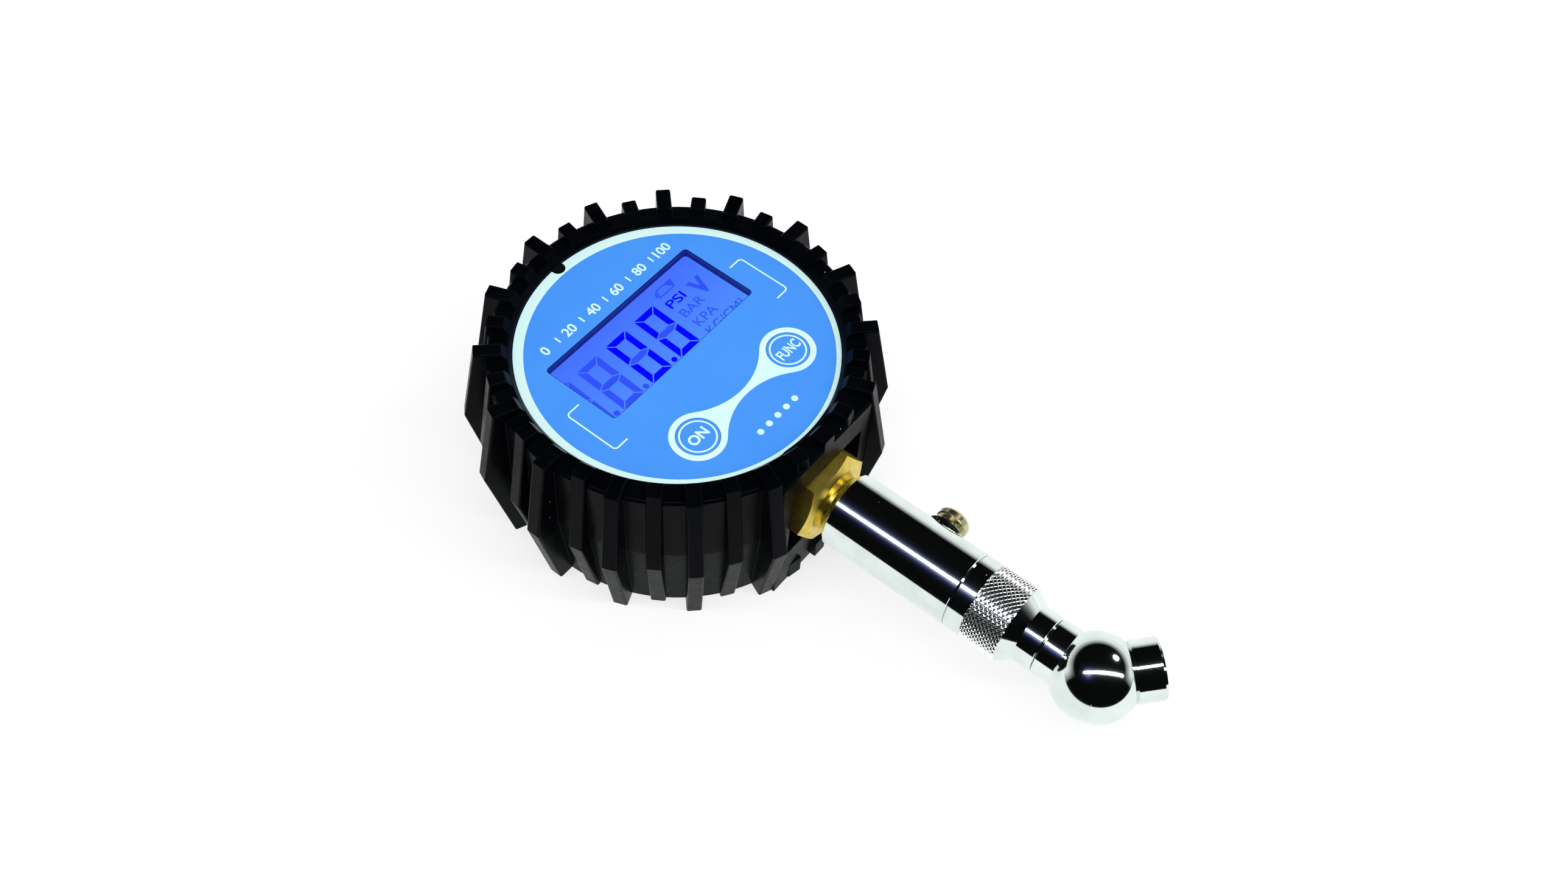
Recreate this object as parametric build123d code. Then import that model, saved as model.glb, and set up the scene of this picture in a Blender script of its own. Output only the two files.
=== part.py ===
from build123d import *
import math
import os

# Digital tyre pressure gauge with a ribbed rubber boot, a brass fitting and a swivelling ball chuck.
# Millimetres. The origin is the centre of the case's flat back, +Z comes out of the face, and the
# stem points along -Y. Radii end in _r, thicknesses in _t and clearances in _gap.

# Case
case_r = 29.6
case_wall = 1.6
back_t = 2.6
face_z = 30.0
rim_lip = 0.25
plate_t = 1.6
split_z = 16.6
lip_t = 1.0
lip_h = 1.2
shell_gap = 0.05
back_edge = 1.0

# Printed film, its key, and the display window
film_inset = 1.2
film_t = 0.3
film_gap = 0.1
nub_w = 2.1
nub_l = 1.5
nub_gap = 0.25
window_w = 36.8
window_h = 15.9
window_y = 6.1
window_corner = 0.8
lens_t = 0.8
lens_lap = 1.0
lens_gap = 0.05

# Keys and their switches
key_x = 12.1
key_y = -14.7
key_r = 3.8
key_film_gap = 0.07
key_plate_gap = 0.15
key_flange_r = 4.4
key_flange_t = 0.65
key_rise_gap = 0.15
key_travel = 0.35
switch_w = 6.0
switch_h = 3.4
actuator_r = 1.7
actuator_gap = 0.05

# Display stack, from the top down, and the board
lcd_drop = 2.2
lcd_w = 42.0
lcd_h = 21.0
lcd_t = 2.0
backlight_inset = 1.5
backlight_t = 2.3
stack_gap = 0.05
frame_t = 0.9
board_inset = 1.0
board_t = 1.6
strip_w = 36.0
strip_t = 1.2
strip_gap = 1.2
chip_w = 9.0
chip_t = 1.4

# Screw pillars: two above the display and two beside the keys
pillar_r = 2.7
pillar_inset = 3.7
pillar_angles = (60.0, 120.0, -36.0, -144.0)
pillar_pin_r = 1.9
pin_gap = 0.1
screw_r = 1.15
screw_gap = 0.05
screw_head_r = 2.1
screw_head_t = 1.5
screw_sink = 2.2
screw_bite = 3.5
slot_w = 0.5
slot_depth = 0.6

# Battery bay: two AAA cells side by side
cell_r = 5.25
cell_l = 44.5
cell_nub_r = 1.9
cell_nub_l = 1.2
cell_gap = 0.6
bay_play = 0.3
bay_wall = 1.2
contact_t = 0.3
contact_w = 8.5
contact_h = 8.6
spring_room = 3.9
battery_coil_r = 2.6
battery_wire_r = 0.3
battery_turns = 3.0

# Battery door
door_w = 46.0
door_h = 23.0
door_t = 1.6
door_corner = 2.5
door_gap = 0.15
door_ledge = 0.7
ear_r = 3.2
ear_y = 14.4
grip_pitch = 2.2
grip_count = 5
grip_depth = 0.5
door_screw_r = 1.0
door_screw_l = 6.0
door_boss_r = 2.4

# Stem: distances u run outward from the case's axis, along -Y
stem_z = 16.6
hex_af = 16.0
hex_turn = 5.0
hex_face_r = 6.7
hex_l = 5.35
hex_chamfer_l = 1.25
port_boss_r = 9.6
port_boss_l = 3.45
port_boss_proud = 0.65
port_r = 6.0
port_gap = 0.1
flange_r = 7.4
flange_t = 1.5
inner_thread_r = 3.4
inner_thread_l = 4.8
neck_r = 5.3
neck_l = 1.2
tube_r = 7.0
tube_l = 26.2
tube_chamfer = 1.2
tube_bore_r = 2.6
fitting_spigot_r = 4.4
fitting_spigot_l = 8.0
air_r = 1.25
thread_gap = 0.05
knurl_start = 3.3
knurl_l = 7.1
knurl_depth = 0.15
taper_l = 2.3
collar_l = 16.3
swivel_neck_r = 5.25
collar_spigot_r = 4.9
collar_spigot_l = 5.2
edge_break = 0.2

# Pressure sensor
sensor_r = 4.9
sensor_l = 11.0
seal_t = 0.8

# Deflator button: distances v run outward from the stem's axis, along +X
bleed_along = 16.8
bush_r = 3.2
bush_stand = 0.6
bush_lip_r = 2.7
bush_flare_r = 3.6
bush_floor_t = 1.0
shank_r = 2.2
shank_gap = 0.06
rod_r = 1.1
rod_gap = 0.08
shank_grip = 1.0
head_r = 3.05
head_gap = 1.2
head_t = 1.8
head_crown = 0.35
poppet_r = 1.9
poppet_t = 0.7
rivet_r = 1.5
rivet_t = 0.5
spring_coil_r = 1.65
spring_wire_r = 0.2
spring_turns = 4.0
spring_end_gap = 0.03

# Swivelling ball chuck
seam_gap = 0.12
spigot_r = 3.5
spigot_gap = 0.05
shoulder_depth = 9.1
spigot_end_l = 1.8
clip_t = 0.6
clip_depth = 0.6
clip_reach = 0.6
clip_gap = 0.05
clip_mouth = 60.0
seal_depth = 4.6
seal_wire_r = 0.4
ball_r = 7.7
ball_along = 9.3
chuck_air_r = 1.4

# Nozzle: distances s run outward from the ball's centre, along the nozzle's axis
nozzle_bend = 45.0
nozzle_roll = 14.0
nozzle_r = 5.3
nozzle_bore_r = 4.2
nozzle_thread_r = 4.9
ball_flat_depth = 1.95
nozzle_gap = 0.15
nozzle_l = 5.0
socket_depth = 3.85
disc_t = 1.0
disc_r = 4.1
disc_hole_r = 0.7
disc_hole_circle_r = 2.4
pin_r = 0.9
pin_l = 1.4
gasket_r = 4.4
gasket_hole_r = 2.0
gasket_t = 1.5
mouth_break = 0.4

# Rubber boot: sizes ending in _in or _out run inward or outward from the case's side wall
boot_base = 2.0
boot_open_in = 2.8
boot_lip_in = 1.05
boot_lip_z = 30.5
boot_crest_in = 0.45
boot_crest_z = 31.35
boot_edge_out = 3.25
boot_edge_z = 30.85
boot_waist_out = 3.55
boot_waist_z = 15.6
boot_foot_out = 1.5
edge_round = 0.4

# Boot ribs: big and small ones alternate
rib_pitch = 11.25
rib_count = 32
rib_w = 2.7
rib_top_z = 32.9
rib_crest_out = 0.55
big_shoulder_out = 5.25
big_waist_out = 8.4
big_waist_z = 16.2
big_foot_out = 4.3
small_shoulder_out = 3.45
small_waist_out = 6.25
small_waist_z = 15.1
small_foot_out = 2.25
rib_round = 0.35

# Boot pad round the stem, its window, and the stubs of the ribs under it
pad_half_w = 11.9
pad_out = 3.4
pad_foot_out = 2.7
hex_window_gap_x = 0.3
hex_window_gap_z = 0.5
boss_gap = 0.05
stub_out = 3.8
stub_top_z = 5.0
stub_slope = 3.0

# Heights and places that follow from the sizes above
backlight_w = lcd_w - 2 * backlight_inset
backlight_h = lcd_h - strip_t - strip_gap
hex_seat_u = case_r + port_boss_proud
port_boss_u = hex_seat_u - port_boss_l
hex_front_u = hex_seat_u + hex_l
tube_u = hex_front_u + neck_l
seam_u = tube_u + tube_l
knurl_u = seam_u + knurl_start
swivel_u = seam_u + collar_l
ball_u = swivel_u + ball_along
shoulder_u = swivel_u - shoulder_depth
spigot_end_u = shoulder_u - spigot_end_l
seal_u = swivel_u - seal_depth
bleed_u = tube_u + bleed_along
bush_bottom_v = tube_bore_r
bush_top_v = tube_r + bush_stand
shank_foot_v = bush_top_v - shank_grip
head_v = bush_top_v + head_gap
ball_flat_s = ball_r - ball_flat_depth
socket_floor_s = ball_flat_s - socket_depth
nozzle_end_s = ball_flat_s + nozzle_l
film_z = face_z - film_t
plate_z = film_z - plate_t
lens_z = film_z - lens_t
lcd_top = face_z - lcd_drop
lcd_z = lcd_top - lcd_t
backlight_z = lcd_z - stack_gap - backlight_t
board_top = backlight_z - stack_gap
board_z = board_top - board_t
frame_top = plate_z - 2 * stack_gap
key_flange_top = plate_z - key_rise_gap
key_foot = key_flange_top - key_flange_t
inner_r = case_r - case_wall
film_r = case_r - film_inset
seat_r = film_r + film_gap
board_r = inner_r - board_inset
pillar_circle_r = inner_r - pillar_inset
boot_open_r = case_r - boot_open_in
boot_lip_r = case_r - boot_lip_in
boot_crest_r = case_r - boot_crest_in
boot_edge_r = case_r + boot_edge_out
boot_waist_r = case_r + boot_waist_out
boot_foot_r = case_r + boot_foot_out
rib_crest_r = case_r + rib_crest_out
pad_u = case_r + pad_out
pad_foot_u = case_r + pad_foot_out
stub_u = case_r + stub_out
cell_y = cell_r + cell_gap / 2
bay_half_l = (cell_l + spring_room) / 2 + contact_t
bay_half_w = cell_y + cell_r + bay_play
cell_z = back_t + bay_play / 2 + cell_r
bay_top = cell_z + cell_r + bay_play
stem_plane = Plane(origin=(0, 0, stem_z), x_dir=(1, 0, 0), z_dir=(0, -1, 0))
bleed_plane = Plane(origin=(0, -bleed_u, stem_z), x_dir=(0, 1, 0), z_dir=(1, 0, 0))
bend = math.radians(nozzle_bend)
roll = math.radians(nozzle_roll)
nozzle_axis = (math.sin(bend) * math.cos(roll), -math.cos(bend), math.sin(bend) * math.sin(roll))
ball_plane = Plane(origin=(0, -ball_u, stem_z), z_dir=nozzle_axis)


def turned(*section):
    # A solid of revolution about Z, from a closed half section of (radius, height) points.
    return revolve(make_face(Plane.XZ * Polyline(*section, close=True)), Axis.Z)


def rod(radius, low, high):
    return Pos(0, 0, low) * extrude(Circle(radius), high - low)


def tube(outer, inner, low, high):
    return Pos(0, 0, low) * extrude(Circle(outer) - Circle(inner), high - low)


def slab(width, depth, low, high, corner=0.0):
    outline = RectangleRounded(width, depth, corner) if corner else Rectangle(width, depth)
    return Pos(0, 0, low) * extrude(outline, high - low)


def on_stem(solid):
    return stem_plane.location * solid


def on_bleed(solid):
    return bleed_plane.location * solid


def on_ball(solid):
    return ball_plane.location * solid


def pillar_places():
    turns = [math.radians(angle) for angle in pillar_angles]
    return [Pos(pillar_circle_r * math.cos(turn), pillar_circle_r * math.sin(turn), 0) for turn in turns]


def at_each(places, solid):
    return [place * solid for place in places]


# Case shells, which clamp the brass fitting between them at the split.
def stem_boss():
    return on_stem(rod(port_boss_r, port_boss_u, hex_seat_u))


def stem_port():
    return on_stem(rod(port_r + port_gap, port_boss_u - 1, hex_seat_u + 1))


def front_case():
    shell = turned(
        (inner_r, split_z), (case_r, split_z), (case_r, face_z + rim_lip), (seat_r, face_z + rim_lip),
        (seat_r, film_z), (0, film_z), (0, plate_z), (inner_r, plate_z),
    )
    upper_half = Pos(0, 0, split_z) * Box(
        4 * case_r, 4 * case_r, 2 * case_r, align=(Align.CENTER, Align.CENTER, Align.MIN)
    )
    boss = stem_boss() & upper_half & rod(pad_u, split_z, plate_z)
    nub_centre = seat_r - nub_l + nub_w / 2
    nub = Pos(0, nub_centre, 0) * rod(nub_w / 2, film_z, face_z + rim_lip)
    nub += Pos(0, (nub_centre + seat_r) / 2, 0) * slab(
        nub_w, seat_r - nub_centre + nub_w / 4, film_z, face_z + rim_lip
    )
    pillar = rod(pillar_r, board_top, plate_z) + rod(pillar_pin_r, board_z + 2 * pin_gap, board_top)
    pillar -= rod(screw_r + screw_gap, board_z, board_top + screw_bite)
    shell = shell + boss + nub + at_each(pillar_places(), pillar)
    window = slab(window_w, window_h, plate_z, film_z, window_corner)
    lens_seat = slab(
        window_w + 2 * lens_lap, window_h + 2 * lens_lap, lens_z, film_z, window_corner + lens_lap
    )
    shell -= Pos(0, window_y, 0) * (window + lens_seat)
    for side in (-1, 1):
        shell -= Pos(side * key_x, key_y, 0) * rod(key_r + key_plate_gap, plate_z, film_z)
    return shell - stem_port()


def lip_break():
    # The rear case's lip stops either side of the stem's boss.
    block = Box(2 * (port_boss_r + shell_gap), 2 * port_boss_r, 4 * lip_h)
    return rod(inner_r, split_z - 2 * lip_h, split_z + lip_h) & Pos(0, -inner_r, split_z) * block


def rear_case():
    lip_r = inner_r - shell_gap
    shell = turned(
        (0, 0), (case_r - back_edge, 0), (case_r, back_edge), (case_r, split_z), (lip_r, split_z),
        (lip_r, split_z + lip_h), (lip_r - lip_t, split_z + lip_h), (lip_r - lip_t, split_z - lip_h),
        (inner_r, split_z - 2 * lip_h), (inner_r, back_t), (0, back_t),
    )
    lower_half = Pos(0, 0, split_z) * Box(
        4 * case_r, 4 * case_r, 2 * case_r, align=(Align.CENTER, Align.CENTER, Align.MAX)
    )
    boss = stem_boss() & lower_half
    bay = slab(2 * (bay_half_l + bay_wall), 2 * (bay_half_w + bay_wall), back_t, bay_top + bay_wall)
    bay &= rod(inner_r + case_wall / 2, back_t, bay_top + bay_wall)
    pillar = rod(pillar_r, back_t, board_z)
    door_boss = Pos(0, ear_y, 0) * rod(door_boss_r, back_t, back_t + door_screw_l)
    shell = shell - lip_break() + boss + bay + at_each(pillar_places(), pillar) + door_boss
    shell -= slab(2 * bay_half_l, 2 * bay_half_w, back_t, bay_top)
    door_low = -door_gap
    shell -= door_outline(door_gap, door_low, door_t + door_gap)
    shell -= slab(
        door_w - 2 * door_ledge, door_h - 2 * door_ledge, door_low, back_t, door_corner - door_ledge
    )
    shell -= Pos(0, ear_y, 0) * rod(door_screw_r + screw_gap, 0, back_t + door_screw_l)
    hole = rod(screw_r + screw_gap, 0, board_z) + rod(screw_head_r + screw_gap, 0, screw_sink)
    for place in pillar_places():
        shell -= place * hole
    return shell - stem_port()


def door_outline(grow, low, high):
    plate = slab(door_w + 2 * grow, door_h + 2 * grow, low, high, door_corner + grow)
    ear = Pos(0, ear_y, 0) * rod(ear_r + grow, low, high)
    bridge = Pos(0, ear_y / 2, 0) * slab(2 * (ear_r + grow), ear_y, low, high)
    return plate + ear + bridge


def battery_door():
    door = door_outline(0, 0, door_t)
    groove = slab(3 * grip_pitch, grip_pitch / 3, 0, grip_depth, grip_pitch / 6.01)
    first = -(grip_count - 1) / 2
    for number in range(grip_count):
        x = door_w / 3
        door -= Pos(x, (first + number) * grip_pitch, 0) * groove
    head_seat = turned(
        (0, 0), (2 * door_screw_r, 0), (door_screw_r + screw_gap, door_screw_r), (0, door_screw_r)
    )
    shaft_hole = rod(door_screw_r + screw_gap, 0, door_t)
    return door - Pos(0, ear_y, 0) * (head_seat + shaft_hole)


def cross_slot(radius, depth):
    # A cross recess in a screw head that faces down.
    bar = slab(1.5 * radius, slot_w, 0, depth)
    return bar + Rot(0, 0, 90) * bar


def door_screw():
    screw = turned(
        (0, 0), (2 * door_screw_r - 2 * screw_gap, 0), (door_screw_r, door_screw_r - screw_gap),
        (door_screw_r, door_screw_l - door_screw_r), (0, door_screw_l),
    )
    return Pos(0, ear_y, 0) * (screw - cross_slot(door_screw_r, slot_depth))


def case_screws():
    top = board_top + screw_bite - screw_gap
    head_low = screw_sink - screw_head_t
    screw = turned(
        (0, head_low), (screw_head_r - edge_break, head_low), (screw_head_r, head_low + edge_break),
        (screw_head_r, screw_sink), (screw_r, screw_sink), (screw_r, top - screw_r), (0, top),
    )
    screw -= Pos(0, 0, head_low) * cross_slot(screw_head_r, slot_depth)
    return at_each(pillar_places(), screw)


# Face: film, lens and keys.
def face_label():
    film = rod(film_r, film_z, face_z)
    film -= Pos(0, window_y, 0) * slab(window_w, window_h, film_z, face_z, window_corner)
    for side in (-1, 1):
        film -= Pos(side * key_x, key_y, 0) * rod(key_r + key_film_gap, film_z, face_z)
    notch_r = nub_w / 2 + nub_gap
    notch_centre = seat_r - nub_l + nub_w / 2
    notch = Pos(0, notch_centre, 0) * rod(notch_r, film_z, face_z)
    notch += Pos(0, notch_centre + case_r / 2, 0) * slab(2 * notch_r, case_r, film_z, face_z)
    return film - notch


def display_lens():
    lap = lens_lap - lens_gap
    corner = window_corner + lap
    return Pos(0, window_y, 0) * slab(window_w + 2 * lap, window_h + 2 * lap, lens_z, film_z, corner)


def key(side):
    cap = turned(
        (0, key_foot), (key_flange_r, key_foot), (key_flange_r, key_flange_top), (key_r, key_flange_top),
        (key_r, face_z), (0, face_z),
    )
    return Pos(side * key_x, key_y, 0) * cap


def actuator(side):
    low = key_foot - actuator_room()
    return Pos(side * key_x, key_y, 0) * rod(actuator_r, low, key_foot)


def actuator_room():
    # The length of actuator that bridges the gap under the key and still guides it in the switch.
    return key_foot - (board_top + switch_h) + 3 * key_travel


def key_switch(side):
    top = board_top + switch_h
    floor = key_foot - actuator_room() - key_travel - actuator_gap
    body = slab(switch_w, switch_w, board_top, top)
    body = chamfer(body.edges().filter_by(Axis.Z), edge_break)
    body -= rod(actuator_r + actuator_gap, floor, top)
    return Pos(side * key_x, key_y, 0) * body


# Display stack and board.
def lcd_panel():
    return Pos(0, window_y, 0) * slab(lcd_w, lcd_h, lcd_z, lcd_top)


def backlight_panel():
    shift = (lcd_h - backlight_h) / 2
    return Pos(0, window_y - shift, 0) * slab(backlight_w, backlight_h, backlight_z, lcd_z - stack_gap)


def elastomer_strip():
    y = window_y + (lcd_h - strip_t) / 2
    return Pos(0, y, 0) * slab(strip_w, strip_t, board_top + stack_gap, lcd_z)


def lcd_frame():
    inner_w = lcd_w + 4 * stack_gap
    inner_h = lcd_h + 4 * stack_gap
    frame = slab(inner_w + 2 * frame_t, inner_h + 2 * frame_t, board_top, frame_top, frame_t)
    frame -= slab(inner_w, inner_h, board_top, frame_top)
    return Pos(0, window_y, 0) * frame


def circuit_board():
    board = rod(board_r, board_z, board_top)
    for place in pillar_places():
        board -= place * rod(pillar_pin_r + pin_gap, board_z, board_top)
    notch_w = flange_r + port_boss_r
    notch_depth = board_r - (port_boss_u - flange_t) + 1
    notch = Pos(0, -board_r + notch_depth / 2, 0) * slab(notch_w, notch_depth, board_z, board_top)
    return board - notch


def controller_chip():
    chip = Pos(-chip_w, chip_w, 0) * slab(chip_w, chip_w, board_z - chip_t, board_z)
    return chamfer(chip.edges().group_by(Axis.Z)[0], edge_break)


# Cells and contacts.
def cell(side):
    # The nub end meets its contact plate; the other end leaves room for the spring.
    nub_tip = bay_half_l - contact_t
    body = turned(
        (0, nub_tip - cell_l), (cell_r - edge_break, nub_tip - cell_l),
        (cell_r, nub_tip - cell_l + edge_break), (cell_r, nub_tip - cell_nub_l - edge_break),
        (cell_r - edge_break, nub_tip - cell_nub_l), (cell_nub_r, nub_tip - cell_nub_l),
        (cell_nub_r, nub_tip), (0, nub_tip),
    )
    axis = Plane(origin=(0, side * cell_y, cell_z), z_dir=(side, 0, 0))
    return axis.location * body


def contact_plates():
    x = bay_half_l - contact_t / 2
    low = back_t
    one = slab(contact_t, contact_w, low, low + contact_h)
    joined = slab(contact_t, contact_w + 2 * cell_y, low, low + contact_h)
    return [Pos(-x, 0, 0) * joined, Pos(x, cell_y, 0) * one, Pos(x, -cell_y, 0) * one]


def coil(radius, wire, length, turns):
    # A spring of the given free length whose ends stop a wire short of its seats. Its wire has six sides.
    rise = length - 2 * wire
    path = Helix(pitch=rise / turns, height=rise, radius=radius)
    start = Plane(origin=path @ 0, z_dir=path % 0)
    return Pos(0, 0, wire) * sweep(start * RegularPolygon(wire, 6), path)


def contact_springs():
    springs = []
    for side in (-1, 1):
        start = bay_half_l - contact_t
        axis = Plane(origin=(side * start, -side * cell_y, cell_z), z_dir=(-side, 0, 0))
        length = spring_room
        springs.append(axis.location * coil(battery_coil_r, battery_wire_r, length, battery_turns))
    return springs


# Stem: fitting, sensor, tube and collar.
def stem_fitting():
    hexagon = Pos(0, 0, hex_seat_u) * extrude(
        RegularPolygon(hex_af / 2, 6, major_radius=False, rotation=hex_turn), hex_front_u - hex_seat_u
    )
    corner_r = hex_af / math.sqrt(3)
    cone = turned(
        (0, hex_seat_u), (corner_r - edge_break, hex_seat_u), (corner_r, hex_seat_u + edge_break),
        (corner_r, hex_front_u - hex_chamfer_l), (hex_face_r, hex_front_u), (0, hex_front_u),
    )
    flange_u = port_boss_u - flange_t
    thread_u = flange_u - inner_thread_l
    core = turned(
        (0, thread_u), (inner_thread_r - edge_break, thread_u), (inner_thread_r, thread_u + edge_break),
        (inner_thread_r, flange_u), (flange_r, flange_u), (flange_r, port_boss_u), (port_r, port_boss_u),
        (port_r, hex_front_u - edge_break), (neck_r, hex_front_u - edge_break), (neck_r, tube_u),
        (fitting_spigot_r, tube_u), (fitting_spigot_r, tube_u + fitting_spigot_l - edge_break),
        (fitting_spigot_r - edge_break, tube_u + fitting_spigot_l), (0, tube_u + fitting_spigot_l),
    )
    fitting = (hexagon & cone) + core
    return on_stem(fitting - rod(air_r, thread_u, tube_u + fitting_spigot_l))


def sensor_seal():
    high = port_boss_u - flange_t
    return on_stem(tube(sensor_r - edge_break, inner_thread_r + thread_gap, high - seal_t, high))


def pressure_sensor():
    high = port_boss_u - flange_t - seal_t
    low = high - sensor_l
    port_low = high + seal_t - inner_thread_l - edge_break
    body = turned(
        (0, low), (sensor_r - 2 * edge_break, low), (sensor_r, low + 2 * edge_break),
        (sensor_r, high), (inner_thread_r + thread_gap, high), (inner_thread_r + thread_gap, port_low),
        (0, port_low),
    )
    return on_stem(body)


def stem_tube():
    body = turned(
        (fitting_spigot_r + thread_gap, tube_u), (tube_r - tube_chamfer, tube_u),
        (tube_r, tube_u + tube_chamfer), (tube_r, seam_u - edge_break), (tube_r - edge_break, seam_u),
        (collar_spigot_r + thread_gap, seam_u),
        (collar_spigot_r + thread_gap, seam_u - collar_spigot_l - edge_break),
        (tube_bore_r, seam_u - collar_spigot_l - edge_break),
        (tube_bore_r, tube_u + fitting_spigot_l + edge_break),
        (fitting_spigot_r + thread_gap, tube_u + fitting_spigot_l + edge_break),
    )
    return on_stem(body) - on_bleed(rod(bush_r, 0, tube_r + 1))


def knurled_collar():
    low = seam_u - collar_spigot_l
    knurl_end = knurl_u + knurl_l
    knurl_root = tube_r - knurl_depth
    start = seam_u + thread_gap
    end = swivel_u - seam_gap / 2
    inner_r_wide = spigot_r + clip_reach + 2 * spigot_gap
    body = turned(
        (inner_r_wide, low), (collar_spigot_r, low), (collar_spigot_r, start),
        (tube_r - edge_break, start), (tube_r, start + edge_break), (tube_r, knurl_u),
        (knurl_root, knurl_u + knurl_depth), (knurl_root, knurl_end - knurl_depth), (tube_r, knurl_end),
        (swivel_neck_r, knurl_end + taper_l), (swivel_neck_r, end - edge_break),
        (swivel_neck_r - edge_break, end), (spigot_r + spigot_gap, end),
        (spigot_r + spigot_gap, shoulder_u), (inner_r_wide, shoulder_u),
    )
    return on_stem(body)


# Deflator button. The bush is screwed into the tube, and the poppet seals its inner end.
def bleed_bush():
    floor_v = bush_bottom_v + bush_floor_t
    body = turned(
        (rod_r + rod_gap, bush_bottom_v), (bush_r - edge_break, bush_bottom_v),
        (bush_r - thread_gap, bush_bottom_v + edge_break), (bush_r - thread_gap, tube_r - edge_break),
        (bush_flare_r, tube_r + edge_break), (bush_lip_r, bush_top_v),
        (shank_r + shank_gap, bush_top_v), (shank_r + shank_gap, floor_v), (rod_r + rod_gap, floor_v),
    )
    # The flare is scribed to the tube, so it starts at the tube's surface.
    tube_body = Rot(90, 0, 0) * rod(tube_r, -2 * bush_flare_r, 2 * bush_flare_r)
    plug = rod(bush_r, 0, tube_r + bush_flare_r)
    return on_bleed(body - (Rot(0, 0, 90) * tube_body - plug))


def bleed_button():
    head_top = head_v + head_t
    poppet_low = bush_bottom_v - poppet_t
    body = turned(
        (0, poppet_low - rivet_t), (rivet_r - edge_break, poppet_low - rivet_t),
        (rivet_r, poppet_low - rivet_t + edge_break), (rivet_r, poppet_low), (rod_r, poppet_low),
        (rod_r, shank_foot_v), (shank_r, shank_foot_v), (shank_r, head_v),
        (head_r - edge_break, head_v), (head_r, head_v + edge_break),
        (head_r, head_top - 2 * head_crown), (head_r - head_crown, head_top - head_crown / 2),
        (head_r / 2, head_top), (0, head_top),
    )
    return on_bleed(body)


def bleed_poppet():
    return on_bleed(tube(poppet_r, rod_r, bush_bottom_v - poppet_t, bush_bottom_v))


def bleed_spring():
    low = bush_bottom_v + bush_floor_t + spring_end_gap
    length = shank_foot_v - low - spring_end_gap
    spring = Pos(0, 0, low) * coil(spring_coil_r, spring_wire_r, length, spring_turns)
    return on_bleed(spring)


# Ball chuck and nozzle.
def ball_chuck():
    start = swivel_u + seam_gap / 2
    clip_low = shoulder_u - clip_gap - clip_t - clip_gap
    clip_r = spigot_r - clip_depth
    seal_half = seal_wire_r + clip_gap
    seal_floor = spigot_r + spigot_gap - 2 * seal_wire_r - clip_gap
    core = turned(
        (chuck_air_r, spigot_end_u), (spigot_r - edge_break, spigot_end_u),
        (spigot_r, spigot_end_u + edge_break), (spigot_r, clip_low), (clip_r, clip_low),
        (clip_r, shoulder_u), (spigot_r, shoulder_u), (spigot_r, seal_u - seal_half),
        (seal_floor, seal_u - seal_half), (seal_floor, seal_u + seal_half), (spigot_r, seal_u + seal_half),
        (spigot_r, start), (swivel_neck_r - edge_break, start), (swivel_neck_r, start + edge_break),
        (swivel_neck_r, ball_u), (chuck_air_r, ball_u),
    )
    ball = Pos(0, 0, ball_u) * Sphere(ball_r) - rod(chuck_air_r, ball_u - ball_r, ball_u)
    chuck = on_stem(core + ball)
    chuck -= on_ball(rod(ball_r, ball_flat_s, 2 * ball_r))
    return chuck - on_ball(rod(nozzle_thread_r + thread_gap, socket_floor_s, ball_r))


def swivel_seal():
    ring_r = spigot_r + spigot_gap - seal_wire_r - clip_gap / 2
    return on_stem(Pos(0, 0, seal_u) * Torus(ring_r, seal_wire_r))


def swivel_clip():
    high = shoulder_u - clip_gap
    inner = spigot_r - clip_depth + clip_gap
    ring = tube(spigot_r + clip_reach, inner, high - clip_t, high)
    reach = 2 * spigot_r
    half = reach * math.tan(math.radians(clip_mouth / 2))
    mouth = Polyline((0, 0), (reach, -half), (reach, half), close=True)
    return on_stem(ring - Pos(0, 0, high - clip_t) * extrude(make_face(mouth), clip_t))


def nozzle():
    flange_s = ball_flat_s + nozzle_gap
    inner_end = socket_floor_s + disc_t + thread_gap
    gasket_seat_r = gasket_r + thread_gap
    gasket_top = inner_end + gasket_t
    body = turned(
        (nozzle_bore_r, gasket_top), (gasket_seat_r, gasket_top), (gasket_seat_r, inner_end),
        (nozzle_thread_r, inner_end),
        (nozzle_thread_r, flange_s), (nozzle_r - edge_break, flange_s),
        (nozzle_r, flange_s + edge_break), (nozzle_r, nozzle_end_s - mouth_break),
        (nozzle_r - mouth_break / 2, nozzle_end_s), (nozzle_bore_r + mouth_break / 2, nozzle_end_s),
        (nozzle_bore_r, nozzle_end_s - mouth_break),
    )
    return on_ball(body)


def valve_depressor():
    disc_top = socket_floor_s + disc_t
    body = turned(
        (0, socket_floor_s), (disc_r, socket_floor_s), (disc_r, disc_top), (pin_r, disc_top),
        (pin_r, disc_top + pin_l - pin_r / 2), (pin_r / 2, disc_top + pin_l), (0, disc_top + pin_l),
    )
    hole = Pos(disc_hole_circle_r, 0, 0) * rod(disc_hole_r, socket_floor_s, disc_top)
    for turn in (0, 120, 240):
        body -= Rot(0, 0, turn) * hole
    return on_ball(body)


def nozzle_seal():
    low = socket_floor_s + disc_t + thread_gap
    high = low + gasket_t
    body = turned(
        (gasket_hole_r + edge_break, low), (gasket_r, low), (gasket_r, high - edge_break),
        (gasket_r - edge_break, high), (gasket_hole_r, high), (gasket_hole_r, low + edge_break),
    )
    return on_ball(body)


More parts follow.
